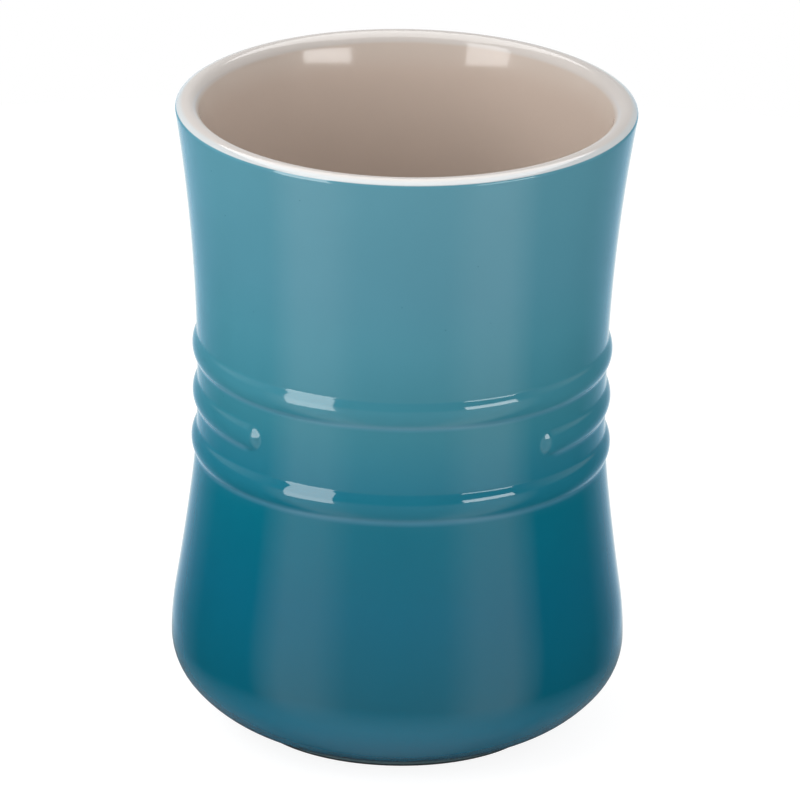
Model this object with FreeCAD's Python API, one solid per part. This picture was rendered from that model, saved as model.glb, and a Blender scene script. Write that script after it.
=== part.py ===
"""A waisted stoneware utensil crock: one fired clay body and the three glaze coats fused to it.

Millimetres, +Z up, origin at the centre of the foot on the surface that the crock stands on.
The bare panel between the ends of the middle rib faces -Y, which is the front.
Radii and heights are given on the finished, glazed surface. The clay lies one glaze thickness under it.
"""
import FreeCAD
import Part
import math
import os

# Overall form
HEIGHT = 212.0
RIM_RADIUS = 75.0
WAIST_HEIGHT = 106.2
WAIST_DRAW = 8.43           # how far the waist is drawn in from the rim
WAIST_ARC_RADIUS = 222.0
WAIST_ARC_DROP = 22.7       # how far the waist's arc reaches down from between the lower ribs
BELLY_HEIGHT = 29.3
BELLY_SWELL = 7.34          # how far the belly swells out past the waist

# Turned base, from the belly down to the foot
SHOULDER_ARC_RADIUS = 105.0
CORNER_RISE_SHARE = 0.8     # the corner's radius, of the rise from the foot to the belly
CORNER_TURN_SHARE = 0.66    # how far the corner turns, of the turn after which it would point at the foot
FOOT_RADIUS = 48.3
FOOT_HEIGHT = 1.7
FOOT_WIDTH = 5.2
RECESS_DEPTH = 2.4
RECESS_FILLET = 1.2

# Wall, floor and lip
WALL = 8.2
FLOOR_THICKNESS = 7.2
LIP_RADIUS = 3.6
LIP_WALL_SHARE = 0.44       # the most of the wall that the outer rounding of the lip may take
INNER_LIP_RADIUS = 3.8
INNER_LIP_WALL_SHARE = 0.465
MOUTH_DEPTH = 17.5          # how far under the rim the inside begins to open out
MOUTH_OPENING = 0.6         # how much thinner that leaves the wall where the lip begins

# Raised ribs round the waist
RIB_RISE = 6.6              # of the middle rib's centre line above the narrowest part of the waist
RIB_PITCH = 16.2
RIB_HEIGHT = 9.0
RIB_PROUD = 1.5
RIB_CREASE_RADIUS = 2.0     # glaze pooled in the crease beside a rib
CLAY_CREASE_RADIUS = 1.5
PANEL_ANGLE = 94.0          # degrees of the front that the middle rib leaves bare

# Glaze coats
GLAZE = 0.5
RIM_LINE_DROP = 1.3         # from the top of the lip to where the two glazes meet
GLAZE_STOP_GAP = 1.4        # clay left bare beside the foot ring

# Working allowances
OVERRUN = 5.0
TOUCH = 0.01                # how near a point has to be to count as on a surface
SAMPLE_SHARES = (0.2, 0.5, 0.8)     # where along an edge its points are tried

# The arcs of the wall, each tangent to the next. Centres are (radius, height) pairs.
LIP = min(LIP_RADIUS, LIP_WALL_SHARE * WALL)
INNER_LIP = min(INNER_LIP_RADIUS, INNER_LIP_WALL_SHARE * WALL)
WAIST_RADIUS = RIM_RADIUS - WAIST_DRAW
BELLY_RADIUS = WAIST_RADIUS + BELLY_SWELL
FLOOR_HEIGHT = RECESS_DEPTH + FLOOR_THICKNESS

MIDDLE_RIB_HEIGHT = WAIST_HEIGHT + RIB_RISE
WAIST_ARC_TOP = MIDDLE_RIB_HEIGHT - RIB_PITCH / 2
WAIST_TOP_TURN = math.asin((WAIST_ARC_TOP - WAIST_HEIGHT) / WAIST_ARC_RADIUS)
WAIST_FOOT_TURN = math.asin((WAIST_ARC_TOP - WAIST_ARC_DROP - WAIST_HEIGHT) / WAIST_ARC_RADIUS)
WAIST_CENTRE = (WAIST_RADIUS + WAIST_ARC_RADIUS, WAIST_HEIGHT)
LIP_CENTRE = (RIM_RADIUS - LIP, HEIGHT - LIP)
SHOULDER_CENTRE = (BELLY_RADIUS - SHOULDER_ARC_RADIUS, BELLY_HEIGHT)
CORNER_RADIUS = CORNER_RISE_SHARE * (BELLY_HEIGHT - FOOT_HEIGHT)
CORNER_CENTRE = (BELLY_RADIUS - CORNER_RADIUS, BELLY_HEIGHT)
INNER_CORNER_RADIUS = BELLY_HEIGHT - FLOOR_HEIGHT
INNER_CORNER_CENTRE = (BELLY_RADIUS - WALL - INNER_CORNER_RADIUS, BELLY_HEIGHT)
RECESS_RADIUS = FOOT_RADIUS - FOOT_WIDTH
RIM_LINE_HEIGHT = HEIGHT - RIM_LINE_DROP
RIB_TUBE_RADIUS = ((RIB_HEIGHT / 2) ** 2 + RIB_PROUD ** 2) / (2 * RIB_PROUD)
HALF_TURN = math.pi
QUARTER_TURN = math.pi / 2


def polar(centre, radius, angle):
    """The (radius, height) point at an angle on a circle in the profile plane."""
    return (centre[0] + radius * math.cos(angle), centre[1] + radius * math.sin(angle))


def place(point):
    """A (radius, height) point as a vector in the XZ plane."""
    return FreeCAD.Vector(point[0], 0, point[1])


def line(start, end):
    return Part.LineSegment(place(start), place(end)).toShape()


def arc(centre, radius, start, end):
    points = [polar(centre, radius, angle) for angle in (start, (start + end) / 2, end)]
    return Part.Arc(*[place(point) for point in points]).toShape()


def tangent_arc(turn, end_centre, end_radius):
    """The hollow arc from the waist arc, left at a turn, to a round end: its centre, radius and turn."""
    outward = (math.cos(turn), -math.sin(turn))
    start = polar(WAIST_CENTRE, WAIST_ARC_RADIUS, HALF_TURN - turn)
    away = (start[0] - end_centre[0], start[1] - end_centre[1])
    lean = away[0] * outward[0] + away[1] * outward[1]
    radius = (away[0] ** 2 + away[1] ** 2 - end_radius ** 2) / (2 * (end_radius - lean))
    centre = (start[0] + radius * outward[0], start[1] + radius * outward[1])
    return centre, radius, math.asin((end_centre[1] - centre[1]) / (radius + end_radius))


def inner_lip_centre():
    """The centre of the lip's inner rounding, set out from the wall's own inner face by the mouth's opening."""
    height = HEIGHT - INNER_LIP
    inner_face = FLARE_CENTRE[0] - math.sqrt((FLARE_RADIUS + WALL) ** 2 - (height - FLARE_CENTRE[1]) ** 2)
    return (inner_face + MOUTH_OPENING + INNER_LIP, height)


def mouth_arc():
    """The arc that opens the inside out into the lip's inner rounding: its start, centre, radius and end."""
    start_turn = math.asin((HEIGHT - MOUTH_DEPTH - FLARE_CENTRE[1]) / (FLARE_RADIUS + WALL))
    start = polar(FLARE_CENTRE, FLARE_RADIUS + WALL, HALF_TURN - start_turn)
    outward = (math.cos(start_turn), -math.sin(start_turn))
    away = (start[0] - INNER_LIP_CENTRE[0], start[1] - INNER_LIP_CENTRE[1])
    lean = away[0] * outward[0] + away[1] * outward[1]
    radius = (INNER_LIP ** 2 - away[0] ** 2 - away[1] ** 2) / (2 * (lean + INNER_LIP))
    centre = (start[0] + radius * outward[0], start[1] + radius * outward[1])
    return start_turn, centre, radius, math.asin((INNER_LIP_CENTRE[1] - centre[1]) / (radius - INNER_LIP))


def corner_turn():
    """How far the belly corner turns before the flatter base arc takes over."""
    to_foot = (FOOT_RADIUS - CORNER_CENTRE[0], FOOT_HEIGHT - CORNER_CENTRE[1])
    foot_direction = math.atan2(to_foot[1], to_foot[0])
    pointing_at_foot = foot_direction + math.acos(CORNER_RADIUS / math.hypot(*to_foot))
    return -CORNER_TURN_SHARE * pointing_at_foot


def base_arc():
    """The flat arc from the belly corner to the top of the foot: its centre, radius and angle at the foot."""
    corner_end = polar(CORNER_CENTRE, CORNER_RADIUS, -CORNER_TURN)
    inward = (-math.cos(CORNER_TURN), math.sin(CORNER_TURN))
    chord = (FOOT_RADIUS - corner_end[0], FOOT_HEIGHT - corner_end[1])
    rise = chord[0] * inward[0] + chord[1] * inward[1]
    radius = (chord[0] ** 2 + chord[1] ** 2) / (2 * rise)
    centre = (corner_end[0] + radius * inward[0], corner_end[1] + radius * inward[1])
    return centre, radius, math.atan2(FOOT_HEIGHT - centre[1], FOOT_RADIUS - centre[0])


FLARE_CENTRE, FLARE_RADIUS, FLARE_TURN = tangent_arc(WAIST_TOP_TURN, LIP_CENTRE, LIP)
SKIRT_CENTRE, SKIRT_RADIUS, SKIRT_TURN = tangent_arc(WAIST_FOOT_TURN, SHOULDER_CENTRE, SHOULDER_ARC_RADIUS)
INNER_LIP_CENTRE = inner_lip_centre()
MOUTH_TURN, MOUTH_CENTRE, MOUTH_RADIUS, INNER_LIP_TURN = mouth_arc()
CORNER_TURN = corner_turn()
BASE_CENTRE, BASE_RADIUS, FOOT_ANGLE = base_arc()


def wall_radius(height):
    """The radius of the finished wall near the waist."""
    centre, radius = WAIST_CENTRE, WAIST_ARC_RADIUS
    if height > WAIST_ARC_TOP:
        centre, radius = FLARE_CENTRE, FLARE_RADIUS
    return centre[0] - math.sqrt(radius ** 2 - (height - centre[1]) ** 2)


def wall_edges(inset, lip_turn):
    """The wall from the belly to where the lip begins, set in from the finished outside by inset."""
    return [
        arc(SHOULDER_CENTRE, SHOULDER_ARC_RADIUS - inset, 0, -SKIRT_TURN),
        arc(SKIRT_CENTRE, SKIRT_RADIUS + inset, HALF_TURN - SKIRT_TURN, HALF_TURN - WAIST_FOOT_TURN),
        arc(WAIST_CENTRE, WAIST_ARC_RADIUS + inset, HALF_TURN - WAIST_FOOT_TURN, HALF_TURN - WAIST_TOP_TURN),
        arc(FLARE_CENTRE, FLARE_RADIUS + inset, HALF_TURN - WAIST_TOP_TURN, HALF_TURN - lip_turn),
    ]


def turned(edges):
    """A closed outline in the XZ plane, turned about Z with its seam at the back."""
    axis = FreeCAD.Vector(0, 0, 1)
    face = Part.Face(Part.Wire(edges))
    solid = face.revolve(FreeCAD.Vector(), axis, math.degrees(2 * HALF_TURN))
    solid.rotate(FreeCAD.Vector(), axis, math.degrees(QUARTER_TURN))
    return solid


def plain_envelope(inset):
    """The outside of the crock as a full solid without ribs, set in by inset all over but the ground face."""
    foot_top = polar(BASE_CENTRE, BASE_RADIUS - inset, FOOT_ANGLE)
    top = HEIGHT - inset
    return turned([
        line((0, 0), (foot_top[0], 0)),
        line((foot_top[0], 0), foot_top),
        arc(BASE_CENTRE, BASE_RADIUS - inset, FOOT_ANGLE, -CORNER_TURN),
        arc(CORNER_CENTRE, CORNER_RADIUS - inset, -CORNER_TURN, 0),
        *wall_edges(inset, FLARE_TURN),
        arc(LIP_CENTRE, LIP - inset, -FLARE_TURN, QUARTER_TURN),
        line((LIP_CENTRE[0], top), (0, top)),
        line((0, top), (0, 0)),
    ])


def rib_centre(step):
    """The (radius, height) of a rib's tube centre, step pitches above the middle rib."""
    height = MIDDLE_RIB_HEIGHT + step * RIB_PITCH
    return wall_radius(height) + RIB_PROUD - RIB_TUBE_RADIUS, height


RIB_CENTRES = [rib_centre(step) for step in (-1, 0, 1)]
LOWER_RIB, MIDDLE_RIB, UPPER_RIB = RIB_CENTRES


def rib_ring(centre, inset):
    """A rib that runs all the way round, as a ring of which only the outer part stands out of the wall."""
    radius, height = centre
    return Part.makeTorus(radius, RIB_TUBE_RADIUS - inset, FreeCAD.Vector(0, 0, height))


def middle_rib(inset):
    """The rib at the waist, which stops in a rounded end at each side of the bare front panel."""
    radius, height = MIDDLE_RIB
    tube = RIB_TUBE_RADIUS - inset
    axis = FreeCAD.Vector(0, 0, 1)
    section = Part.Face(Part.Wire(Part.makeCircle(tube, place((radius, height)), FreeCAD.Vector(0, 1, 0))))
    first_end = PANEL_ANGLE / 2 - math.degrees(QUARTER_TURN)
    section.rotate(FreeCAD.Vector(), axis, first_end)
    rib = section.revolve(FreeCAD.Vector(), axis, math.degrees(2 * HALF_TURN) - PANEL_ANGLE)
    for end in (first_end, first_end - PANEL_ANGLE):
        around = math.radians(end)
        centre = FreeCAD.Vector(radius * math.cos(around), radius * math.sin(around), height)
        rib = rib.fuse(Part.makeSphere(tube, centre))
    return rib


def is_crease(edge, inset):
    """Whether an edge lies on the wall and in a rib's tube, so that it runs along the foot of the rib."""
    first, last = edge.ParameterRange
    for share in SAMPLE_SHARES:
        point = edge.valueAt(first + share * (last - first))
        reach = math.hypot(point.x, point.y)
        from_tubes = [math.hypot(reach - radius, point.z - height) for radius, height in RIB_CENTRES]
        on_wall = abs(wall_radius(point.z) - inset - reach) < TOUCH
        in_rib = min(from_tubes) < RIB_TUBE_RADIUS - inset + TOUCH
        if not (on_wall and in_rib):
            return False
    return True


def ribbed_envelope(inset, crease):
    """The outside of the crock with its ribs, their creases filled to a radius."""
    ribs = [rib_ring(UPPER_RIB, inset), middle_rib(inset), rib_ring(LOWER_RIB, inset)]
    solid = plain_envelope(inset).multiFuse(ribs)
    return solid.makeFillet(crease, [edge for edge in solid.Edges if is_crease(edge, inset)])


def cavity_edges(grow):
    """The inside from the middle of the floor to the top of the lip, grown into the wall by grow."""
    inset = WALL - grow
    corner = INNER_CORNER_RADIUS + grow
    floor = FLOOR_HEIGHT - grow
    return [
        line((0, floor), (INNER_CORNER_CENTRE[0], floor)),
        arc(INNER_CORNER_CENTRE, corner, -QUARTER_TURN, 0),
        *wall_edges(inset, MOUTH_TURN),
        arc(MOUTH_CENTRE, MOUTH_RADIUS - grow, HALF_TURN - MOUTH_TURN, HALF_TURN - INNER_LIP_TURN),
        arc(INNER_LIP_CENTRE, INNER_LIP - grow, HALF_TURN - INNER_LIP_TURN, QUARTER_TURN),
    ]


def make_stoneware_body():
    """The fired clay: ribbed wall, rounded base, foot ring, and a recess under the floor."""
    top = HEIGHT - GLAZE
    above = HEIGHT + OVERRUN
    mouth = INNER_LIP_CENTRE[0]
    cavity = turned([
        *cavity_edges(GLAZE),
        line((mouth, top), (mouth, above)),
        line((mouth, above), (0, above)),
        line((0, above), (0, FLOOR_HEIGHT - GLAZE)),
    ])
    ceiling = RECESS_DEPTH + GLAZE
    fillet_centre = (RECESS_RADIUS - RECESS_FILLET, ceiling - RECESS_FILLET)
    recess = turned([
        line((0, -OVERRUN), (RECESS_RADIUS, -OVERRUN)),
        line((RECESS_RADIUS, -OVERRUN), (RECESS_RADIUS, fillet_centre[1])),
        arc(fillet_centre, RECESS_FILLET, 0, QUARTER_TURN),
        line((fillet_centre[0], ceiling), (0, ceiling)),
        line((0, ceiling), (0, -OVERRUN)),
    ])
    return ribbed_envelope(GLAZE, CLAY_CREASE_RADIUS).cut(cavity).cut(recess)


def make_outer_glaze():
    """The coloured coat, from the meeting line on the lip down to just short of the foot ring."""
    skin = ribbed_envelope(0, RIB_CREASE_RADIUS).cut(ribbed_envelope(GLAZE, CLAY_CREASE_RADIUS))
    reach = RIM_RADIUS + BELLY_SWELL + OVERRUN
    above_line = Part.makeCylinder(reach, LIP, FreeCAD.Vector(0, 0, RIM_LINE_HEIGHT))
    bare_foot = Part.makeCylinder(FOOT_RADIUS + GLAZE_STOP_GAP, HEIGHT)
    return skin.cut(above_line).cut(bare_foot)


def make_liner_glaze():
    """The pale coat inside, which comes up over the lip to meet the coloured one."""
    def meeting_angle(radius):
        return math.asin((RIM_LINE_HEIGHT - LIP_CENTRE[1]) / radius)

    clay_lip = LIP - GLAZE
    clay_top = HEIGHT - GLAZE
    clay_meeting = polar(LIP_CENTRE, clay_lip, meeting_angle(clay_lip))
    meeting = polar(LIP_CENTRE, LIP, meeting_angle(LIP))
    return turned([
        *cavity_edges(GLAZE),
        line((INNER_LIP_CENTRE[0], clay_top), (LIP_CENTRE[0], clay_top)),
        arc(LIP_CENTRE, clay_lip, QUARTER_TURN, meeting_angle(clay_lip)),
        line(clay_meeting, meeting),
        arc(LIP_CENTRE, LIP, meeting_angle(LIP), QUARTER_TURN),
        line((LIP_CENTRE[0], HEIGHT), (INNER_LIP_CENTRE[0], HEIGHT)),
        *reversed(cavity_edges(0)),
        line((0, FLOOR_HEIGHT), (0, FLOOR_HEIGHT - GLAZE)),
    ])


def make_base_glaze():
    """The coat in the recess inside the foot ring, which keeps the underside from soaking up water."""
    return Part.makeCylinder(RECESS_RADIUS - RECESS_FILLET, GLAZE, FreeCAD.Vector(0, 0, RECESS_DEPTH))


PIECES = {
    "stoneware_body": make_stoneware_body,
    "outer_glaze": make_outer_glaze,
    "liner_glaze": make_liner_glaze,
    "base_glaze": make_base_glaze,
}

os.makedirs("parts", exist_ok=True)
for name, make in PIECES.items():
    solids = make().Solids
    Part.makeCompound(solids).exportStep(f"parts/{name}.step")
    print(name, len(solids), "solid,", round(sum(solid.Volume for solid in solids)), "mm3")
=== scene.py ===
import cmath
import math

import bpy
import numpy as np
from mathutils import Matrix, Vector


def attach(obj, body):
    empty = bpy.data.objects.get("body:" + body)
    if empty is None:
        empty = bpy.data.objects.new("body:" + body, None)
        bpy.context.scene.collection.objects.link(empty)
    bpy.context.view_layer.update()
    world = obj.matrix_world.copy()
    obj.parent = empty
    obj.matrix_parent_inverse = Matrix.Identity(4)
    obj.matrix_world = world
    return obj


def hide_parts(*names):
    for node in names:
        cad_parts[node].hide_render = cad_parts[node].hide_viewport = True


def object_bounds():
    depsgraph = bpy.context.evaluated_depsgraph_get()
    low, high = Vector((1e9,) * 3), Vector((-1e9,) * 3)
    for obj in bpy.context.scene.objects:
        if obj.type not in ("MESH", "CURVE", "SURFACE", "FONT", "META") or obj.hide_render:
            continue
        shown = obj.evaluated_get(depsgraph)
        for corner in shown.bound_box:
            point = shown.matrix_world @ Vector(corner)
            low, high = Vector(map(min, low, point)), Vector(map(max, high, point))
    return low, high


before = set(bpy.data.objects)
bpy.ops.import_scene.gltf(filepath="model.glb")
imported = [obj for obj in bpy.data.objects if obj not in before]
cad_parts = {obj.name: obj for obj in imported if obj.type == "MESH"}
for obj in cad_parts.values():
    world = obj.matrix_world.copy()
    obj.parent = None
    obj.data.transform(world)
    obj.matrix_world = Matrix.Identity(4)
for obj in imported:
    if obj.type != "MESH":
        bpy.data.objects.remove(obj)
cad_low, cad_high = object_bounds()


# Clay body
# The fired pot itself: buff stoneware pressed against a turning mould, so that wall, ribs, base and foot
# ring are one piece. Glaze hides all but the ring that it stands on. Sizes are in metres, on the finished
# surface, and a point of the turned outline is a complex number: its distance from the axis, and its height.

HEIGHT = cad_high.z - cad_low.z
RIM_RADIUS = min(cad_high.x, -cad_low.x)
WALL = 0.0082
GLAZE = 0.0005

WAIST_HEIGHT = 0.1062
RIM_OVERHANG = 0.00843          # how far the rim stands out past the waist
WAIST_RADIUS = RIM_RADIUS - RIM_OVERHANG
WAIST_ARC = 0.222
WAIST_BAND = 0.0227             # height of the stretch of wall that keeps the waist's arc
BELLY_HEIGHT = 0.0293
BELLY_SWELL = 0.00734           # how far the belly stands out past the waist
BELLY_RADIUS = WAIST_RADIUS + BELLY_SWELL
SHOULDER_ARC = 0.105
CORNER_ARC_SHARE = 0.8          # radius of the corner under the belly, as a share of the drop to the foot
CORNER_TURN_SHARE = 0.66        # the corner's share of the turn from the belly to the foot

FOOT_RADIUS = 0.0483
FOOT_HEIGHT = 0.0017
FOOT_WIDTH = 0.0052
FOOT_EDGE = 0.0004
FOOT_TOP = complex(FOOT_RADIUS, FOOT_HEIGHT)
RECESS_DEPTH = 0.0024
RECESS_FILLET = 0.0012
RECESS_RADIUS = FOOT_RADIUS - FOOT_WIDTH
FLOOR_THICKNESS = 0.0072
FLOOR_HEIGHT = RECESS_DEPTH + FLOOR_THICKNESS

LIP_EDGE = 0.0015
LIP_EDGE_DROP = 0.00226         # how far under the rim the outer edge of the lip has its centre
LIP_EDGE_TURN = math.radians(55)
INNER_LIP = 0.0038
MOUTH_DEPTH = 0.0175            # how far under the rim the inside begins to open out
MOUTH_OPENING = 0.0008          # how much thinner that leaves the wall where the lip begins

RIBS = (-1, 0, 1)               # the lower, middle and upper rib, in steps of the pitch
RIBS_RISE = 0.0066              # how far above the waist the middle rib lies
MIDDLE_RIB = WAIST_HEIGHT + RIBS_RISE
RIB_PITCH = 0.0162
RIB_HEIGHT = 0.009
RIB_PROUD = 0.0015
RIB_TUBE = ((RIB_HEIGHT / 2) ** 2 + RIB_PROUD ** 2) / (2 * RIB_PROUD)
RIB_STOP = math.radians(47)     # the middle rib ends this far from the front, on both sides of a bare panel
CLAY_CREASE = 0.0015

LIP_EDGE_CENTRE = complex(RIM_RADIUS - LIP_EDGE, HEIGHT - LIP_EDGE_DROP)
WAIST_CENTRE = complex(WAIST_RADIUS + WAIST_ARC, WAIST_HEIGHT)
WAIST_TOP = MIDDLE_RIB - RIB_PITCH / 2
WAIST_TOP_TURN = math.asin((WAIST_TOP - WAIST_HEIGHT) / WAIST_ARC)
WAIST_FOOT_TURN = math.asin((WAIST_TOP - WAIST_BAND - WAIST_HEIGHT) / WAIST_ARC)
SHOULDER_CENTRE = complex(BELLY_RADIUS - SHOULDER_ARC, BELLY_HEIGHT)


def hollow_arc(turn, end_centre, end_radius):
    """The hollow curve that leaves the waist at a turn and runs into a round end.

    Gives its centre, its radius, and the turn at which it meets the end.
    """
    outward = cmath.rect(1, -turn)
    start = WAIST_CENTRE - WAIST_ARC * outward
    away = start - end_centre
    lean = (away * outward.conjugate()).real
    radius = (abs(away) ** 2 - end_radius ** 2) / (2 * (end_radius - lean))
    centre = start + radius * outward
    return centre, radius, math.asin((end_centre - centre).imag / (radius + end_radius))


FLARE_CENTRE, FLARE_ARC, FLARE_TURN = hollow_arc(WAIST_TOP_TURN, LIP_EDGE_CENTRE, LIP_EDGE)
SKIRT_CENTRE, SKIRT_ARC, SKIRT_TURN = hollow_arc(WAIST_FOOT_TURN, SHOULDER_CENTRE, SHOULDER_ARC)

# The belly turns under in a tight corner, then runs to the foot on a flatter arc.
CORNER_ARC = CORNER_ARC_SHARE * (BELLY_HEIGHT - FOOT_HEIGHT)
CORNER_CENTRE = complex(BELLY_RADIUS - CORNER_ARC, BELLY_HEIGHT)
corner_to_foot = FOOT_TOP - CORNER_CENTRE
straight_turn = cmath.phase(corner_to_foot) + math.acos(CORNER_ARC / abs(corner_to_foot))
CORNER_TURN = CORNER_TURN_SHARE * straight_turn
corner_end = CORNER_CENTRE + cmath.rect(CORNER_ARC, CORNER_TURN)
base_inward = -cmath.rect(1, CORNER_TURN)
base_chord = FOOT_TOP - corner_end
BASE_ARC = abs(base_chord) ** 2 / (2 * (base_chord * base_inward.conjugate()).real)
BASE_CENTRE = corner_end + BASE_ARC * base_inward
FOOT_TURN = cmath.phase(FOOT_TOP - BASE_CENTRE)

INNER_CORNER = BELLY_HEIGHT - FLOOR_HEIGHT
INNER_CORNER_CENTRE = complex(BELLY_RADIUS - WALL - INNER_CORNER, BELLY_HEIGHT)

# The inside opens out a little more under the rim, into the inner rounding of the lip.
inner_face = FLARE_CENTRE.real - math.sqrt(
    (FLARE_ARC + WALL) ** 2 - (HEIGHT - INNER_LIP - FLARE_CENTRE.imag) ** 2)
INNER_LIP_CENTRE = complex(inner_face + MOUTH_OPENING + INNER_LIP, HEIGHT - INNER_LIP)
MOUTH_TURN = math.asin((HEIGHT - MOUTH_DEPTH - FLARE_CENTRE.imag) / (FLARE_ARC + WALL))
mouth_outward = cmath.rect(1, -MOUTH_TURN)
mouth_start = FLARE_CENTRE - (FLARE_ARC + WALL) * mouth_outward
from_lip = mouth_start - INNER_LIP_CENTRE
mouth_lean = (from_lip * mouth_outward.conjugate()).real
MOUTH_ARC = (INNER_LIP ** 2 - abs(from_lip) ** 2) / (2 * (mouth_lean + INNER_LIP))
MOUTH_CENTRE = mouth_start + MOUTH_ARC * mouth_outward
INNER_LIP_TURN = math.asin((INNER_LIP_CENTRE - MOUTH_CENTRE).imag / (MOUTH_ARC - INNER_LIP))

# Outside, the flare runs up to a tight edge, and the lip goes on from there in a low dome.
edge_rise = math.sin(LIP_EDGE_TURN)
LIP_DOME = (LIP_EDGE_DROP - LIP_EDGE * edge_rise) / (1 - edge_rise)
LIP_DOME_CENTRE = LIP_EDGE_CENTRE - cmath.rect(LIP_DOME - LIP_EDGE, LIP_EDGE_TURN)

# Angles round the pot from the front, closer together where the middle rib rounds off.
TURN_STEP = 3.0                 # degrees
RIB_END_STEP = 0.4
RIB_END_REACH = 6.0
RIB_END_MARGIN = 0.01           # radians
rib_end = np.radians(np.arange(-RIB_END_REACH, RIB_END_REACH + RIB_END_STEP / 2, RIB_END_STEP))
AROUND = np.radians(np.arange(-180, 180, TURN_STEP))
AROUND = AROUND[np.abs(np.abs(AROUND) - RIB_STOP) > rib_end.max() + RIB_END_MARGIN]
AROUND = np.sort(np.concatenate((AROUND, RIB_STOP + rib_end, -RIB_STOP - rib_end)))

SKIRT_RINGS = 22
FLARE_RINGS = 26
FLAT_RINGS = 7
INSIDE_STEP = 0.003             # height from ring to ring over the ribs' band, inside and on the clay
CLAY_STEP = 0.001
SAME_PLACE = 1e-7               # rings closer than this are one


def arc(centre, radius, start, end, points):
    """A round stretch of the outline."""
    return centre + radius * np.exp(1j * np.linspace(start, end, points))


def flat(start, end, height, points=FLAT_RINGS):
    """A level stretch of the outline."""
    return np.linspace(start, end, points) + 1j * height


def wall_radius(height, inset):
    """Radius of the wall at a height, set in from the finished outside.

    The wall is shoulder, skirt, waist and flare in turn.
    """
    height = np.asarray(height, float)

    def hollow(centre, radius):
        return centre.real - np.sqrt((radius + inset) ** 2 - (height - centre.imag) ** 2)

    below = (SHOULDER_ARC - inset) ** 2 - (height - BELLY_HEIGHT) ** 2
    shoulder = SHOULDER_CENTRE.real + np.sqrt(np.maximum(below, 0))
    skirt_start = BELLY_HEIGHT - (SHOULDER_ARC - inset) * math.sin(SKIRT_TURN)
    waist_foot = WAIST_HEIGHT + (WAIST_ARC + inset) * math.sin(WAIST_FOOT_TURN)
    waist_top = WAIST_HEIGHT + (WAIST_ARC + inset) * math.sin(WAIST_TOP_TURN)
    return np.select(
        [height < skirt_start, height < waist_foot, height < waist_top],
        [shoulder, hollow(SKIRT_CENTRE, SKIRT_ARC), hollow(WAIST_CENTRE, WAIST_ARC)],
        hollow(FLARE_CENTRE, FLARE_ARC))


def wall_heights(top, rib_step):
    """Heights up the wall from the belly, closer together over the ribs."""
    half_band = len(RIBS) / 2 * RIB_PITCH
    ribs_low = MIDDLE_RIB - half_band
    ribs_high = MIDDLE_RIB + half_band
    return np.concatenate((
        np.linspace(BELLY_HEIGHT, ribs_low, SKIRT_RINGS, endpoint=False),
        np.linspace(ribs_low, ribs_high, round((ribs_high - ribs_low) / rib_step), endpoint=False),
        np.linspace(ribs_high, top, FLARE_RINGS)))


def ribbed_wall(heights, inset, crease):
    """Radius of the wall with its ribs, a row for each height.

    The creases beside the ribs are filled softly.
    """
    surface = np.repeat(wall_radius(heights, inset)[:, None], len(AROUND), 1)
    tube = RIB_TUBE - inset
    steepness = math.asin(RIB_HEIGHT / 2 / RIB_TUBE)
    fill = 4 * crease * (1 / math.cos(steepness / 2) - 1)
    for step in RIBS:
        middle = MIDDLE_RIB + step * RIB_PITCH
        reach = float(wall_radius(middle, 0)) + RIB_PROUD - RIB_TUBE
        past_end = np.maximum(RIB_STOP - np.abs(AROUND), 0) if step == 0 else np.zeros(len(AROUND))
        room = tube ** 2 - (heights[:, None] - middle) ** 2 - (reach * np.sin(past_end)) ** 2
        rib = np.where(room > 0, reach * np.cos(past_end) + np.sqrt(np.maximum(room, 0)), 0)
        near = np.maximum(fill - np.abs(surface - rib), 0) / fill
        surface = np.maximum(surface, rib) + near ** 2 * fill / 4
    return surface


def rings_along(outline):
    """A ring right round the pot for each point of an outline."""
    return [(point.real, point.imag) for point in outline]


def flare_top(inset):
    return (LIP_EDGE_CENTRE + cmath.rect(LIP_EDGE - inset, -FLARE_TURN)).imag


def lip_edge(inset, start, end):
    return arc(LIP_EDGE_CENTRE, LIP_EDGE - inset, start, end, points=10)


def lip_dome(inset):
    return arc(LIP_DOME_CENTRE, LIP_DOME - inset, LIP_EDGE_TURN, math.pi / 2, points=10)


def inside_rings(grow):
    """The inside from the lip down to the middle of the floor, grown into the wall."""
    lip = arc(INNER_LIP_CENTRE, INNER_LIP - grow, math.pi / 2, math.pi - INNER_LIP_TURN, points=9)
    mouth = arc(MOUTH_CENTRE, MOUTH_ARC - grow, math.pi - INNER_LIP_TURN, math.pi - MOUTH_TURN, points=10)
    heights = wall_heights(mouth[-1].imag, INSIDE_STEP)[::-1]
    corner = arc(INNER_CORNER_CENTRE, INNER_CORNER + grow, 0, -math.pi / 2, points=14)
    floor = flat(corner[-1].real, 0, corner[-1].imag)
    return rings_along(np.concatenate((
        lip, mouth, wall_radius(heights, WALL - grow) + 1j * heights, corner, floor)))


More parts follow.
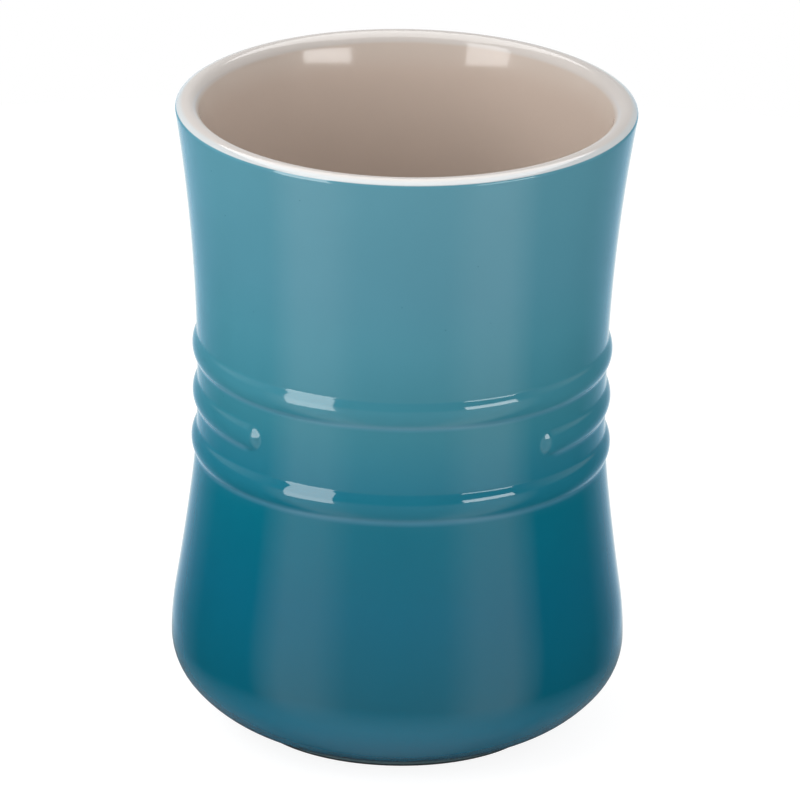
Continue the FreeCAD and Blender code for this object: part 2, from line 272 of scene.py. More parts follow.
def turn_piece(name, rings, sharp_rings=()):
    """A closed mesh turned from rings of (radius or radii round the pot, height).

    The rings follow the outline with the solid on their left; sharp_rings are the heights of hard edges.
    """
    corners, loops = [], []
    last = None
    for radius, height in rings:
        radii = np.broadcast_to(radius, AROUND.shape)
        if last is not None:
            last_radii, last_height = last
            if max(abs(height - last_height), np.abs(radii - last_radii).max()) < SAME_PLACE:
                continue
        last = radii, height
        first = len(corners)
        if radii.max() < SAME_PLACE:
            corners.append((0, 0, height))
            loops.append([first])
        else:
            corners.extend(zip(radii * np.sin(AROUND), -radii * np.cos(AROUND), [height] * len(AROUND)))
            loops.append(list(range(first, len(corners))))
    pairs = list(zip(loops, loops[1:]))
    if len(loops[0]) > 1:
        pairs.append((loops[-1], loops[0]))
    faces = []
    for lower, upper in pairs:
        for here in range(len(AROUND)):
            after = (here + 1) % len(AROUND)
            if len(lower) == 1:
                faces.append((lower[0], upper[after], upper[here]))
            elif len(upper) == 1:
                faces.append((lower[here], lower[after], upper[0]))
            else:
                faces.append((lower[here], lower[after], upper[after], upper[here]))
    mesh = bpy.data.meshes.new(name)
    mesh.from_pydata(corners, [], faces)
    mesh.shade_smooth()
    sharp = set()
    for height in sharp_rings:
        sharp.update(index for index, corner in enumerate(corners) if abs(corner[2] - height) < SAME_PLACE)
    for edge in mesh.edges:
        if edge.vertices[0] in sharp and edge.vertices[1] in sharp:
            edge.use_edge_sharp = True
    piece = bpy.data.objects.new(name, mesh)
    bpy.context.scene.collection.objects.link(piece)
    return piece


ceiling = RECESS_DEPTH + GLAZE
recess_fillet_centre = complex(RECESS_RADIUS - RECESS_FILLET, ceiling - RECESS_FILLET)
clay_foot = BASE_CENTRE + cmath.rect(BASE_ARC - GLAZE, FOOT_TURN)
inner_foot_centre = complex(RECESS_RADIUS + FOOT_EDGE, FOOT_EDGE)
outer_foot_centre = complex(clay_foot.real - FOOT_EDGE, FOOT_EDGE)
clay_heights = wall_heights(flare_top(GLAZE), CLAY_STEP)
clay_body = turn_piece("clay_body", [
    *rings_along(flat(0, RECESS_RADIUS - RECESS_FILLET, ceiling)),
    *rings_along(arc(recess_fillet_centre, RECESS_FILLET, math.pi / 2, 0, points=7)),
    *rings_along(arc(inner_foot_centre, FOOT_EDGE, math.pi, 1.5 * math.pi, points=5)),
    *rings_along(flat(RECESS_RADIUS + 2 * FOOT_EDGE, clay_foot.real - 2 * FOOT_EDGE, 0, points=4)),
    *rings_along(arc(outer_foot_centre, FOOT_EDGE, -math.pi / 2, 0, points=5)),
    *rings_along(arc(BASE_CENTRE, BASE_ARC - GLAZE, FOOT_TURN, CORNER_TURN, points=16)),
    *rings_along(arc(CORNER_CENTRE, CORNER_ARC - GLAZE, CORNER_TURN, 0, points=10)),
    *zip(ribbed_wall(clay_heights, GLAZE, CLAY_CREASE), clay_heights),
    *rings_along(lip_edge(GLAZE, -FLARE_TURN, LIP_EDGE_TURN)),
    *rings_along(lip_dome(GLAZE)),
    *inside_rings(GLAZE),
], sharp_rings=[clay_foot.imag])

DRIFT_DETAIL = 4
SKIN_DETAIL = 2
SPECKLED_SHARE = 0.2            # how many of the grains show as a speck


def kiln_variation():
    """Unevenness that the kiln leaves on fired surfaces: drifting tone, specks of iron, and a fine skin."""
    group = bpy.data.node_groups.new("kiln_variation", "ShaderNodeTree")
    usual = {"Drift Scale": 20.0, "Speck Scale": 300.0, "Speck Size": 0.1, "Skin Scale": 400.0}
    for name, value in usual.items():
        socket = group.interface.new_socket(name, in_out="INPUT", socket_type="NodeSocketFloat")
        socket.default_value = value
    for name in ("Drift", "Speck", "Skin"):
        group.interface.new_socket(name, in_out="OUTPUT", socket_type="NodeSocketFloat")
    nodes, links = group.nodes, group.links
    entry = nodes.new("NodeGroupInput")
    leave = nodes.new("NodeGroupOutput")
    place = nodes.new("ShaderNodeTexCoord")

    drift = nodes.new("ShaderNodeTexNoise")
    drift.inputs["Detail"].default_value = DRIFT_DETAIL
    links.new(place.outputs["Object"], drift.inputs["Vector"])
    links.new(entry.outputs["Drift Scale"], drift.inputs["Scale"])
    links.new(drift.outputs["Fac"], leave.inputs["Drift"])

    grains = nodes.new("ShaderNodeTexVoronoi")
    links.new(place.outputs["Object"], grains.inputs["Vector"])
    links.new(entry.outputs["Speck Scale"], grains.inputs["Scale"])
    nearness = nodes.new("ShaderNodeMapRange")
    nearness.interpolation_type = "SMOOTHSTEP"
    nearness.inputs["From Min"].default_value = 0.0
    nearness.inputs["To Min"].default_value = 1.0
    nearness.inputs["To Max"].default_value = 0.0
    links.new(grains.outputs["Distance"], nearness.inputs["Value"])
    links.new(entry.outputs["Speck Size"], nearness.inputs["From Max"])
    colour_of_grain = nodes.new("ShaderNodeSeparateColor")
    links.new(grains.outputs["Color"], colour_of_grain.inputs["Color"])
    few = nodes.new("ShaderNodeMath")
    few.operation = "GREATER_THAN"
    few.inputs[1].default_value = 1 - SPECKLED_SHARE
    links.new(colour_of_grain.outputs["Red"], few.inputs[0])
    speck = nodes.new("ShaderNodeMath")
    speck.operation = "MULTIPLY"
    links.new(nearness.outputs["Result"], speck.inputs[0])
    links.new(few.outputs["Value"], speck.inputs[1])
    links.new(speck.outputs["Value"], leave.inputs["Speck"])

    skin = nodes.new("ShaderNodeTexNoise")
    skin.inputs["Detail"].default_value = SKIN_DETAIL
    links.new(place.outputs["Object"], skin.inputs["Vector"])
    links.new(entry.outputs["Skin Scale"], skin.inputs["Scale"])
    links.new(skin.outputs["Fac"], leave.inputs["Skin"])
    return group


KILN_VARIATION = kiln_variation()


class Finish:
    """A material under way: its nodes, its shader, and the kiln's unevenness placed in it."""

    TINT_RANGE = (0.25, 0.75)       # the stretch of a noise's values that a tint is spread over
    ROUGH_RANGE = (0.3, 0.7)        # and that roughness is spread over

    def __init__(self, name, drift_scale, speck_scale, speck_size, skin_scale):
        self.material = bpy.data.materials.new(name)
        self.material.use_nodes = True
        self.tree = self.material.node_tree
        self.shader = self.tree.nodes["Principled BSDF"]
        kiln = self.add("ShaderNodeGroup")
        kiln.node_tree = KILN_VARIATION
        for socket, value in zip(kiln.inputs, (drift_scale, speck_scale, speck_size, skin_scale)):
            socket.default_value = value
        self.drift = kiln.outputs["Drift"]
        self.speck = kiln.outputs["Speck"]
        self.skin = kiln.outputs["Skin"]

    def add(self, kind):
        return self.tree.nodes.new(kind)

    def link(self, start, end):
        self.tree.links.new(start, end)

    def along(self, axis):
        """Where a point of the surface lies along an axis of the pot."""
        place = self.add("ShaderNodeTexCoord")
        parts = self.add("ShaderNodeSeparateXYZ")
        self.link(place.outputs["Object"], parts.inputs["Vector"])
        return parts.outputs[axis]

    def from_axis(self):
        """How far a point of the surface is from the axis of the pot."""
        place = self.add("ShaderNodeTexCoord")
        level = self.add("ShaderNodeVectorMath")
        level.operation = "MULTIPLY"
        level.inputs[1].default_value = (1, 1, 0)
        self.link(place.outputs["Object"], level.inputs[0])
        distance = self.add("ShaderNodeVectorMath")
        distance.operation = "LENGTH"
        self.link(level.outputs["Vector"], distance.inputs[0])
        return distance.outputs["Value"]

    def times(self, first, second):
        node = self.add("ShaderNodeMath")
        node.operation = "MULTIPLY"
        self.link(first, node.inputs[0])
        self.link(second, node.inputs[1])
        return node.outputs["Value"]

    def spread(self, value, low, high, to_low=0, to_high=1):
        """A value spread from one range to another, eased at both ends."""
        node = self.add("ShaderNodeMapRange")
        node.interpolation_type = "SMOOTHSTEP"
        for socket, number in zip(node.inputs[1:5], (low, high, to_low, to_high)):
            socket.default_value = number
        self.link(value, node.inputs["Value"])
        return node.outputs["Result"]

    def mix(self, share, first, second):
        """One colour going over into another; each is a colour or a socket."""
        node = self.add("ShaderNodeMix")
        node.data_type = "RGBA"
        self.link(share, node.inputs["Factor"])
        for socket, colour in ((node.inputs["A"], first), (node.inputs["B"], second)):
            if isinstance(colour, tuple):
                socket.default_value = (*colour, 1)
            else:
                self.link(colour, socket)
        return node.outputs["Result"]

    def tint(self, colour, noise, darkest, lightest):
        """A colour made darker and lighter by a noise."""
        node = self.add("ShaderNodeHueSaturation")
        self.link(self.spread(noise, *self.TINT_RANGE, darkest, lightest), node.inputs["Value"])
        self.link(colour, node.inputs["Color"])
        return node.outputs["Color"]

    def paint(self, colour):
        self.link(colour, self.shader.inputs["Base Color"])

    def roughen(self, noise, smooth, rough):
        """Roughness that a noise takes from one value to another."""
        self.link(self.spread(noise, *self.ROUGH_RANGE, smooth, rough), self.shader.inputs["Roughness"])

    def bump(self, height, depth):
        node = self.add("ShaderNodeBump")
        node.inputs["Strength"].default_value = 1
        node.inputs["Distance"].default_value = depth
        self.link(height, node.inputs["Height"])
        self.link(node.outputs["Normal"], self.shader.inputs["Normal"])


BUFF = (0.74, 0.63, 0.49)
PALE_BUFF = (0.82, 0.73, 0.60)
IRON_SPECK = (0.20, 0.12, 0.07)
# Painted contact shadow: the lowest edge of the foot's outer side is painted dark, under a teal-grey stain
# of glaze.
PAINTED_FOOT_SHADOW = (0.03, 0.04, 0.045)
FOOT_STAIN = (0.17, 0.27, 0.29)
SHADOW_AND_STAIN_DEPTH = 0.0008            # the painted shadow and the glaze stain on the outer side of the foot fade out this far in
SHADOW_AND_STAIN_FULL_DEPTH = 0.0002
FOOT_SHADOW_TOP = 0.0004          # a painted contact shadow, darkest up to this height, under the teal stain
# the painted shadow has given way to the stain by this height
STAIN_FOOT = 0.0009

bisque = Finish("bare_stoneware", drift_scale=45, speck_scale=520, speck_size=0.3, skin_scale=1800)
bisque_colour = bisque.mix(bisque.drift, BUFF, PALE_BUFF)
bisque_colour = bisque.tint(bisque_colour, bisque.skin, darkest=0.86, lightest=1.06)
bisque_colour = bisque.mix(bisque.speck, bisque_colour, IRON_SPECK)
# Painted contact shadow along the foot's outer side, going over into the glaze stain above it.
outer_shadow_and_stain = bisque.spread(
    bisque.from_axis(), clay_foot.real - SHADOW_AND_STAIN_DEPTH, clay_foot.real - SHADOW_AND_STAIN_FULL_DEPTH)
above_painted_shadow = bisque.spread(bisque.along("Z"), FOOT_SHADOW_TOP, STAIN_FOOT)
bisque_colour = bisque.mix(outer_shadow_and_stain, bisque_colour, bisque.mix(above_painted_shadow, PAINTED_FOOT_SHADOW, FOOT_STAIN))
bisque.paint(bisque_colour)
bisque.roughen(bisque.skin, smooth=0.78, rough=0.92)
bisque.bump(bisque.skin, depth=0.00012)

clay_body.data.materials.append(bisque.material)
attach(clay_body, "root")
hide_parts("stoneware_body")


# Outer glaze
# The coloured glass on the outside, sprayed so that a deep teal at the base goes over into a lighter blue
# above the ribs, and stops in a rolled edge above the foot. A pale line under each rib is a painted
# reflection of the white floor in the crease, and just above the foot the colour is lifted by painted light
# from the floor.

CREASE = 0.002
REFLECTION_LINE_DROP = 0.0045              # how far under the middle of each rib the painted reflection of the floor lies, in the crease
REFLECTION_LINE_REACH = 0.0017
REFLECTION_LINE_SHARE = 0.26               # how strongly the painted reflection shows there
PANEL_FADE = 0.003              # the painted reflection under the middle rib fades in over this depth beside the panel
RIM_LINE_DROP = 0.0013
RIM_LINE = HEIGHT - RIM_LINE_DROP
RIM_BLEED = 0.0003
BARE_STRIP = 0.0014
GLAZE_STOP = FOOT_RADIUS + BARE_STRIP
GLAZE_ROLL = 0.0008
GLAZE_STEP = 0.00033            # height from ring to ring over the ribs
UNEVEN_FADE = 0.006             # how far up and down the kiln shifts the colours, in all
GLASS_IOR = 1.52

# colour of the painted reflection of the floor in the creases under the ribs
CREASE_REFLECTION_TEAL = (0.18, 0.34, 0.48)
DARK_SPECK = (0.02, 0.13, 0.18)
RIM_WHITE = (0.60, 0.65, 0.66)
FADE_AND_FLOOR_LIGHT = [                        # colours at shares of the height, from the foot to the rim; the two lowest are lifted by painted light from the floor
    (0.06, (0.0030, 0.135, 0.220)),
    (0.10, (0.0020, 0.134, 0.212)),
    (0.14, (0.0012, 0.104, 0.160)),
    (0.28, (0.0015, 0.120, 0.191)),
    (0.415, (0.0015, 0.141, 0.207)),
    (0.49, (0.0185, 0.178, 0.254)),
    (0.57, (0.0370, 0.212, 0.277)),
    (0.71, (0.0670, 0.256, 0.330)),
    (0.80, (0.0810, 0.266, 0.345)),
    (0.97, (0.0970, 0.288, 0.364)),
]

stop_turn = -math.acos((GLAZE_STOP - BASE_CENTRE.real) / (BASE_ARC - GLAZE))
rolled_turn = stop_turn + GLAZE_ROLL / BASE_ARC
rolling = np.linspace(0, 1, num=7)
rolled_edge = BASE_CENTRE + (BASE_ARC - GLAZE + GLAZE * np.sqrt(1 - (1 - rolling) ** 2)) * np.exp(
    1j * (stop_turn + rolling ** 2 * (rolled_turn - stop_turn)))
RIM_LINE_TURN = math.asin((RIM_LINE - LIP_EDGE_CENTRE.imag) / LIP_EDGE)

glaze_heights = wall_heights(flare_top(0), GLAZE_STEP)
clay_side = [
    *rings_along(arc(BASE_CENTRE, BASE_ARC - GLAZE, stop_turn, CORNER_TURN, points=14)),
    *rings_along(arc(CORNER_CENTRE, CORNER_ARC - GLAZE, CORNER_TURN, 0, points=10)),
    *zip(ribbed_wall(clay_heights, GLAZE, CLAY_CREASE), clay_heights),
    *rings_along(lip_edge(GLAZE, -FLARE_TURN, RIM_LINE_TURN)),
]
outer_glaze = turn_piece("outer_glaze_coat", [
    *rings_along(rolled_edge),
    *rings_along(arc(BASE_CENTRE, BASE_ARC, rolled_turn, CORNER_TURN, points=18)),
    *rings_along(arc(CORNER_CENTRE, CORNER_ARC, CORNER_TURN, 0, points=16)),
    *zip(ribbed_wall(glaze_heights, 0, CREASE), glaze_heights),
    *rings_along(lip_edge(0, -FLARE_TURN, RIM_LINE_TURN)),
    *reversed(clay_side),
], sharp_rings=[RIM_LINE, rolled_edge[0].imag])


def grade(ramp, stops):
    """Sets the stops of a colour ramp, each a place and a colour, from the first to the last."""
    marks = ramp.elements
    for mark, (place, colour) in zip((marks[0], marks[-1]), (stops[0], stops[-1])):
        mark.position = place
        mark.color = (*colour, 1)
    for place, colour in stops[1:-1]:
        marks.new(place).color = (*colour, 1)


teal = Finish("outer_glaze", drift_scale=14, speck_scale=210, speck_size=0.07, skin_scale=230)
teal_height = teal.along("Z")
uneven_height = teal.add("ShaderNodeMath")
uneven_height.operation = "MULTIPLY_ADD"
uneven_height.inputs[1].default_value = UNEVEN_FADE
teal.link(teal.drift, uneven_height.inputs[0])
teal.link(teal_height, uneven_height.inputs[2])
share_of_height = teal.add("ShaderNodeMapRange")
share_of_height.inputs["From Min"].default_value = UNEVEN_FADE / 2
share_of_height.inputs["From Max"].default_value = HEIGHT + UNEVEN_FADE / 2
teal.link(uneven_height.outputs["Value"], share_of_height.inputs["Value"])
fade_and_floor_light = teal.add("ShaderNodeValToRGB")
grade(fade_and_floor_light.color_ramp, FADE_AND_FLOOR_LIGHT)
teal.link(share_of_height.outputs["Result"], fade_and_floor_light.inputs["Fac"])
teal_colour = teal.tint(fade_and_floor_light.outputs["Color"], teal.drift, darkest=0.97, lightest=1.03)
teal_colour = teal.mix(teal.speck, teal_colour, DARK_SPECK)
panel_edge = -WAIST_RADIUS * math.cos(RIB_STOP)
beside_panel = teal.spread(teal.along("Y"), panel_edge, panel_edge + PANEL_FADE)
# Painted reflection: a pale line in the crease under each rib stands for the white floor mirrored there.
for step in RIBS:
    reflection_line = MIDDLE_RIB + step * RIB_PITCH - REFLECTION_LINE_DROP
    reflected_share = teal.times(
        teal.spread(teal_height, reflection_line - REFLECTION_LINE_REACH, reflection_line, 0, REFLECTION_LINE_SHARE),
        teal.spread(teal_height, reflection_line, reflection_line + REFLECTION_LINE_REACH, 1, 0))
    if step == 0:
        reflected_share = teal.times(reflected_share, beside_panel)
    teal_colour = teal.mix(reflected_share, teal_colour, CREASE_REFLECTION_TEAL)
teal_colour = teal.mix(teal.spread(teal_height, RIM_LINE - RIM_BLEED, RIM_LINE), teal_colour, RIM_WHITE)
teal.paint(teal_colour)
teal.roughen(teal.drift, smooth=0.04, rough=0.08)
teal.shader.inputs["IOR"].default_value = GLASS_IOR
teal.bump(teal.skin, depth=0.00001)

outer_glaze.data.materials.append(teal.material)
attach(outer_glaze, "root")
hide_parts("outer_glaze")


# Liner glaze
# The pale sand-coloured glass that is poured in, swilled round and tipped out again.
# It comes up over the lip and meets the coloured coat in a soft line. Towards the mouth and over the lip it
# is painted paler, as painted light from above, and along the lip's outer edge it is whiter, partly a
# painted highlight.

SAND = (0.570, 0.470, 0.402)
SAND_IN_PAINTED_LIGHT = (0.605, 0.520, 0.455)
LIP_SAND_IN_PAINTED_LIGHT = (0.630, 0.585, 0.550)
LIP_WHITE_AND_HIGHLIGHT = (0.62, 0.65, 0.66)
SAND_SPECK = (0.52, 0.42, 0.34)
PALER_DEPTH = 0.014             # painted light makes the coat paler from this far under the rim
PALEST_DEPTH = 0.003
LIP_DEPTH = 0.0036              # and goes over into the lip's paler colour, painted light from above, from here
LIP_FULL_DEPTH = 0.0024
WHITER_INSET = 0.0026           # on the lip it whitens from this far inside the rim's outer edge, partly the thin glaze where the coats meet and partly a painted highlight
WHITEST_INSET = 0.0010
LINER_IOR = 1.47

liner_glaze = turn_piece("liner_glaze_coat", [
    *reversed(inside_rings(GLAZE)),
    *rings_along(lip_dome(GLAZE)[::-1]),
    *rings_along(lip_edge(GLAZE, LIP_EDGE_TURN, RIM_LINE_TURN)),
    *rings_along(lip_edge(0, RIM_LINE_TURN, LIP_EDGE_TURN)),
    *rings_along(lip_dome(0)),
    *inside_rings(0),
], sharp_rings=[RIM_LINE])

sand = Finish("liner_glaze", drift_scale=16, speck_scale=260, speck_size=0.09, skin_scale=210)
sand_height = sand.along("Z")
# Painted light: the inside is paler towards the mouth and over the lip, where more light falls.
painted_light_near_mouth = sand.spread(sand_height, HEIGHT - PALER_DEPTH, HEIGHT - PALEST_DEPTH)
painted_light_over_lip = sand.spread(sand_height, HEIGHT - LIP_DEPTH, HEIGHT - LIP_FULL_DEPTH)
# Partly a painted highlight along the lip's outer edge, partly the thin glaze where the two coats meet.
by_rim_line_and_highlight = sand.spread(sand.from_axis(), RIM_RADIUS - WHITER_INSET, RIM_RADIUS - WHITEST_INSET)
lit_lip_colour = sand.mix(by_rim_line_and_highlight, LIP_SAND_IN_PAINTED_LIGHT, LIP_WHITE_AND_HIGHLIGHT)
sand_colour = sand.mix(painted_light_over_lip, sand.mix(painted_light_near_mouth, SAND, SAND_IN_PAINTED_LIGHT), lit_lip_colour)
sand_colour = sand.tint(sand_colour, sand.drift, darkest=0.97, lightest=1.03)
sand_colour = sand.mix(sand.speck, sand_colour, SAND_SPECK)
sand.paint(sand_colour)
sand.roughen(sand.drift, smooth=0.05, rough=0.10)
sand.shader.inputs["IOR"].default_value = LINER_IOR
sand.bump(sand.skin, depth=0.00001)

liner_glaze.data.materials.append(sand.material)
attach(liner_glaze, "root")
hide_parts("liner_glaze")


# Base glaze
# The same pale glass brushed into the hollow under the floor, so that the underside doesn't soak up water.
# It thins out to nothing in the corner of the hollow.

BASE_FEATHER = 0.0009           # width of its thinning edge
BRUSHED_SAND = (0.62, 0.52, 0.43)
PALE_BRUSHED_SAND = (0.72, 0.62, 0.53)
BROWN_SPECK = (0.30, 0.20, 0.13)

base_radius = RECESS_RADIUS - RECESS_FILLET
base_edge = complex(base_radius - BASE_FEATHER, ceiling)
thinning = np.linspace(-math.pi / 2, 0, num=7)
base_glaze = turn_piece("base_glaze_coat", [
    *rings_along(flat(0, base_edge.real, RECESS_DEPTH)),
    *rings_along(base_edge + BASE_FEATHER * np.cos(thinning) + 1j * GLAZE * np.sin(thinning)),
    *rings_along(flat(base_radius, 0, ceiling)),
], sharp_rings=[ceiling])

brushed = Finish("base_glaze", drift_scale=30, speck_scale=240, speck_size=0.13, skin_scale=160)
brushed_colour = brushed.mix(brushed.drift, BRUSHED_SAND, PALE_BRUSHED_SAND)
brushed.paint(brushed.mix(brushed.speck, brushed_colour, BROWN_SPECK))
brushed.roughen(brushed.drift, smooth=0.10, rough=0.22)
brushed.shader.inputs["IOR"].default_value = GLASS_IOR
brushed.bump(brushed.skin, depth=0.00004)

base_glaze.data.materials.append(brushed.material)
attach(base_glaze, "root")
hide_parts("base_glaze")


# Studio floor
# A wide round of matt white board that the pot stands on, open under the foot and clear from below. To the
# camera it is as white as the backdrop, but for the shadow under the pot. The glaze mirrors it only close to
# the foot, where it is dim beside the pot and bright in front of it.

BOARD_RADIUS = 0.6
BOARD_HOLE = 0.046              # the board is open under the foot ring, so that light reaches the underside
BOARD_GAP = 0.00005             # keeps the board out of the plane of the foot's face
BOARD_RINGS = 16
BOARD_TURN_STEP = 5             # degrees
BOARD_WHITE = 0.88
SHOWN_WHITE = 0.89              # to the camera the board is this much plain white
SHOWN_MATT = 0.22               # and a dull matt besides, which takes the shadow
MIRRORED_TINT = (0.86, 0.94, 1.0)
MIRRORED_RADIUS = 0.11          # the glaze mirrors the board out to here
MIRRORED_FADE = 0.02
DIM_RADIUS = 0.052              # in that mirror it is dim up to here, under the pot
DIM_LEVEL = 0.05
CLEAR_RADIUS = 0.071            # and lighter from here on, clear of the belly
CLEAR_LEVEL = 0.24
FRONT_START = -0.052            # in front of the pot, along Y, it grows brighter still
FRONT_FULL = -0.08
FRONT_LEVEL = 0.42

board_radii = BOARD_HOLE + (BOARD_RADIUS - BOARD_HOLE) * np.linspace(0, 1, BOARD_RINGS) ** 2
board_turns = np.radians(np.arange(0, 360, BOARD_TURN_STEP))
board_points = [
    (radius * math.cos(turn), radius * math.sin(turn), -BOARD_GAP)
    for radius in board_radii for turn in board_turns]
board_faces = []
for inner in range(0, len(board_points) - len(board_turns), len(board_turns)):
    outer = inner + len(board_turns)
    for here in range(len(board_turns)):
        after = (here + 1) % len(board_turns)
        board_faces.append((inner + here, outer + here, outer + after, inner + after))
board_mesh = bpy.data.meshes.new("studio_floor")
board_mesh.from_pydata(board_points, [], board_faces)
studio_floor = bpy.data.objects.new("studio_floor", board_mesh)
bpy.context.scene.collection.objects.link(studio_floor)

board = bpy.data.materials.new("white_board")
board.use_nodes = True
board_tree = board.node_tree
board_tree.nodes.remove(board_tree.nodes["Principled BSDF"])


def grey(level):
    return (level, level, level)


def board_shader(kind, colour):
    node = board_tree.nodes.new(kind)
    node.inputs["Color"].default_value = (*colour, 1)
    return node


def board_choice(share, first, second):
    node = board_tree.nodes.new("ShaderNodeMixShader")
    for start, socket in zip((share, first, second), node.inputs):
        board_tree.links.new(start, socket)
    return node.outputs["Shader"]


def board_spread(value, low, high, to_low, to_high):
    node = board_tree.nodes.new("ShaderNodeMapRange")
    for socket, number in zip(node.inputs[1:5], (low, high, to_low, to_high)):
        socket.default_value = number
    board_tree.links.new(value, node.inputs["Value"])
    return node.outputs["Result"]


def board_math(operation, first, second):
    node = board_tree.nodes.new("ShaderNodeMath")
    node.operation = operation
    board_tree.links.new(first, node.inputs[0])
    board_tree.links.new(second, node.inputs[1])
    return node.outputs["Value"]


board_place = board_tree.nodes.new("ShaderNodeTexCoord")
board_from_axis = board_tree.nodes.new("ShaderNodeVectorMath")
board_from_axis.operation = "LENGTH"
board_tree.links.new(board_place.outputs["Object"], board_from_axis.inputs[0])
board_distance = board_from_axis.outputs["Value"]
board_place_parts = board_tree.nodes.new("ShaderNodeSeparateXYZ")
board_tree.links.new(board_place.outputs["Object"], board_place_parts.inputs["Vector"])
lit_all_round = board_spread(board_distance, DIM_RADIUS, CLEAR_RADIUS, DIM_LEVEL, CLEAR_LEVEL)
lit_in_front = board_spread(board_place_parts.outputs["Y"], FRONT_FULL, FRONT_START, FRONT_LEVEL, 0)
beyond = board_spread(
    board_distance, MIRRORED_RADIUS - MIRRORED_FADE, MIRRORED_RADIUS + MIRRORED_FADE, 0, 1)

matt = board_shader("ShaderNodeBsdfDiffuse", grey(BOARD_WHITE))
shown_matt = board_shader("ShaderNodeBsdfDiffuse", grey(SHOWN_MATT))
shown_white = board_shader("ShaderNodeEmission", grey(1))
shown_white.inputs["Strength"].default_value = SHOWN_WHITE
shown = board_tree.nodes.new("ShaderNodeAddShader")
board_tree.links.new(shown_matt.outputs["BSDF"], shown.inputs[0])
board_tree.links.new(shown_white.outputs["Emission"], shown.inputs[1])
mirrored_white = board_shader("ShaderNodeEmission", MIRRORED_TINT)
board_tree.links.new(board_math("ADD", lit_all_round, lit_in_front), mirrored_white.inputs["Strength"])
clear = board_tree.nodes.new("ShaderNodeBsdfTransparent")

board_ray = board_tree.nodes.new("ShaderNodeLightPath")
board_seen = board_math(
    "MAXIMUM", board_ray.outputs["Is Camera Ray"], board_ray.outputs["Is Transmission Ray"])
mirrored = board_choice(beyond, mirrored_white.outputs["Emission"], clear.outputs["BSDF"])
lit_or_mirrored = board_choice(board_ray.outputs["Is Glossy Ray"], matt.outputs["BSDF"], mirrored)
from_above = board_choice(board_seen, lit_or_mirrored, shown.outputs["Shader"])
side = board_tree.nodes.new("ShaderNodeNewGeometry")
board_tree.links.new(
    board_choice(side.outputs["Backfacing"], from_above, clear.outputs["BSDF"]),
    board_tree.nodes["Material Output"].inputs["Surface"])
board_mesh.materials.append(board)


# Studio lights
# A tall soft box at the left, leaning a little, a shorter one at the right and a large one overhead: the
# glaze mirrors these on its ribs, its lip and its inside. Two wide lights at the front corners and a third
# at the left side light the pot together with the white tent, and aren't mirrored.


def soft_box(name, place, facing, width, height, radiance, mirrored_only, lean=0.0):
    lamp = bpy.data.lights.new(name, "AREA")
    lamp.shape = "RECTANGLE"
    lamp.size = width
    lamp.size_y = height
    lamp.energy = radiance * math.pi * width * height
    box = bpy.data.objects.new(name, lamp)
    box.location = place
    box.rotation_euler = (Vector(place) - Vector(facing)).to_track_quat("Z", "Y").to_euler()
    box.rotation_euler.rotate_axis("Z", lean)
    box.visible_camera = False
    box.visible_diffuse = not mirrored_only
    box.visible_glossy = mirrored_only
    bpy.context.scene.collection.objects.link(box)


soft_box(
    "left_soft_box", place=(-0.301, -0.263, 0.31), facing=(0, 0, 0.31),
    width=0.190, height=0.525, radiance=5.4, mirrored_only=True, lean=math.radians(5))
soft_box(
    "right_soft_box", place=(0.442, -0.406, 0.255), facing=(0, 0, 0.255),
    width=0.31, height=0.13, radiance=7.0, mirrored_only=True)
soft_box(
    "overhead_soft_box", place=(0, 0.35, 1.2), facing=(0, 0.35, 0),
    width=1.2, height=1.7, radiance=3.8, mirrored_only=True)
soft_box(
    "left_key_light", place=(-0.50, -0.45, 0.50), facing=(0, 0, 0.12),
    width=0.35, height=0.45, radiance=3.6, mirrored_only=False)
soft_box(
    "right_key_light", place=(0.50, -0.45, 0.50), facing=(0, 0, 0.12),
    width=0.35, height=0.45, radiance=2.1, mirrored_only=False)
soft_box(
    "left_side_light", place=(-0.45, 0.05, 0.45), facing=(0, 0, 0.15),
    width=0.3, height=0.3, radiance=2.5, mirrored_only=False)


# Backdrop
# The white tent round the pot: plain white where the camera sees it, and an even light on matt surfaces.
# In the mirror of the glaze it is a dimmer, uneven room, dark at the sides and bluish white behind the pot.

TENT_LIGHT = 0.66
DARK = grey(0.03)
# Each stop is degrees round from straight in front, and a colour.
LOW_ROOM = [
    (0, grey(0.33)), (24, grey(0.38)), (43, grey(0.85)), (61, grey(0.85)), (80, DARK), (120, DARK),
    (135, (0.14, 0.22, 0.31)), (150, (0.33, 0.49, 0.65)), (161, (0.54, 0.74, 0.92)),
    (172, (0.84, 0.95, 1.0)), (180, grey(1)),
]
HIGH_ROOM = [(0, DARK), (70, DARK), (105, grey(0.5)), (150, grey(0.6)), (180, grey(0.8))]
HIGH_START = 0.06               # sine of the height over the horizon where the high room begins
HIGH_FULL = 0.2

world = bpy.data.worlds.new("white_tent")
world.use_nodes = True
bpy.context.scene.world = world
tent_tree = world.node_tree
tent_place = tent_tree.nodes.new("ShaderNodeTexCoord")
tent_way = tent_tree.nodes.new("ShaderNodeSeparateXYZ")
tent_tree.links.new(tent_place.outputs["Generated"], tent_way.inputs["Vector"])


def tent_math(operation, first, second):
    node = tent_tree.nodes.new("ShaderNodeMath")
    node.operation = operation
    for socket, value in zip(node.inputs, (first, second)):
        if isinstance(value, (int, float)):
            socket.default_value = value
        else:
            tent_tree.links.new(value, socket)
    return node.outputs["Value"]


def tent_mix(share, first, second):
    node = tent_tree.nodes.new("ShaderNodeMix")
    node.data_type = "RGBA"
    tent_tree.links.new(share, node.inputs["Factor"])
    for socket, value in ((node.inputs["A"], first), (node.inputs["B"], second)):
        if isinstance(value, tuple):
            socket.default_value = (*value, 1)
        else:
            tent_tree.links.new(value, socket)
    return node.outputs["Result"]


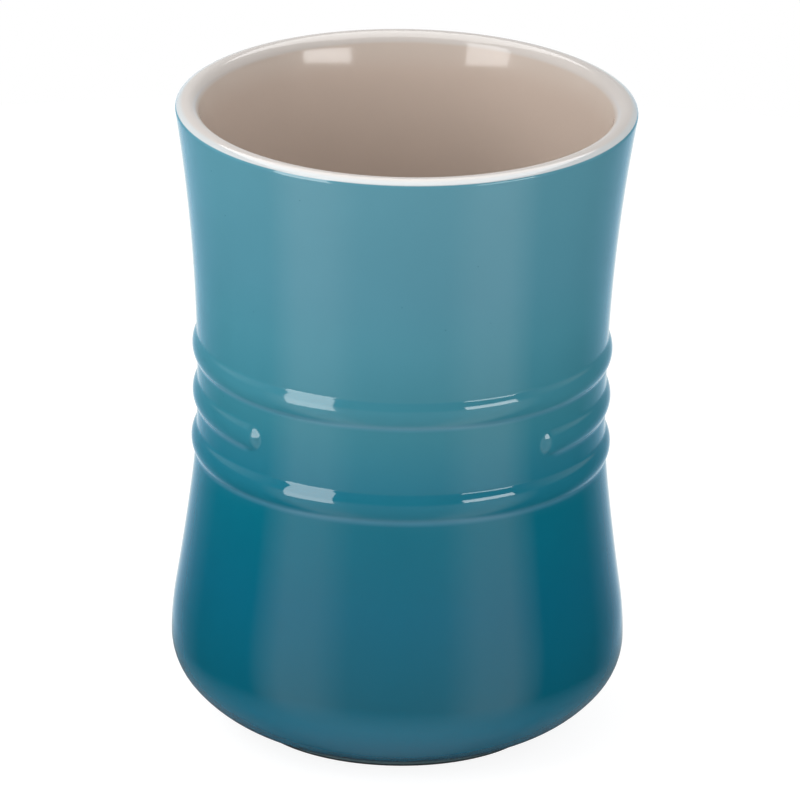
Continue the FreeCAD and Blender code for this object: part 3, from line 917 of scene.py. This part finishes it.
def room_ring(stops):
    """Colour of the room round the pot, from straight in front to straight behind, alike on both sides."""
    forward = tent_math("MULTIPLY", tent_way.outputs["Y"], -1)
    turn = tent_math("ABSOLUTE", tent_math("ARCTAN2", tent_way.outputs["X"], forward), 0)
    ramp = tent_tree.nodes.new("ShaderNodeValToRGB")
    grade(ramp.color_ramp, [(degrees / 180, colour) for degrees, colour in stops])
    tent_tree.links.new(tent_math("DIVIDE", turn, math.pi), ramp.inputs["Fac"])
    return ramp.outputs["Color"]


above = tent_tree.nodes.new("ShaderNodeMapRange")
above.interpolation_type = "SMOOTHSTEP"
above.inputs["From Min"].default_value = HIGH_START
above.inputs["From Max"].default_value = HIGH_FULL
tent_tree.links.new(tent_way.outputs["Z"], above.inputs["Value"])
mirrored_room = tent_mix(above.outputs["Result"], room_ring(LOW_ROOM), room_ring(HIGH_ROOM))

tent_ray = tent_tree.nodes.new("ShaderNodeLightPath")
tent_seen = tent_math("MAXIMUM", tent_ray.outputs["Is Camera Ray"], tent_ray.outputs["Is Transmission Ray"])
unseen_tent = tent_mix(tent_ray.outputs["Is Glossy Ray"], grey(TENT_LIGHT), mirrored_room)
tent_colour = tent_mix(tent_seen, unseen_tent, grey(1))
tent_tree.links.new(tent_colour, tent_tree.nodes["Background"].inputs["Color"])


# Camera
# A long lens from the front, a little above the pot and very slightly rolled.
# Its tilt, roll, scale and shift were fitted to the outline in the photograph.

ELEVATION = math.radians(20.8)
ROLL = math.radians(1.057)
DISTANCE = 5.0
AIM_HEIGHT = 0.1092
PIXELS_PER_METRE = 3069.0
SHIFT_PIXELS = -1.405
IMAGE_PIXELS = 800
SENSOR_WIDTH = 36               # millimetres
FARTHEST = 20                   # metres that the camera sees

forward = Vector((0, math.cos(ELEVATION), -math.sin(ELEVATION)))
upward = Vector((0, math.sin(ELEVATION), math.cos(ELEVATION)))
sideways = Vector((1, 0, 0))
camera_x = math.cos(ROLL) * sideways + math.sin(ROLL) * upward
camera_y = math.cos(ROLL) * upward - math.sin(ROLL) * sideways
lens = bpy.data.cameras.new("camera")
lens.sensor_width = SENSOR_WIDTH
lens.lens = PIXELS_PER_METRE * DISTANCE / IMAGE_PIXELS * SENSOR_WIDTH
lens.shift_x = SHIFT_PIXELS / IMAGE_PIXELS
lens.clip_end = FARTHEST
camera = bpy.data.objects.new("camera", lens)
camera.matrix_world = Matrix.Translation(Vector((0, 0, AIM_HEIGHT)) - DISTANCE * forward) @ Matrix(
    (camera_x, camera_y, -forward)).transposed().to_4x4()
bpy.context.scene.collection.objects.link(camera)
bpy.context.scene.camera = camera
bpy.context.scene.view_settings.view_transform = "Standard"
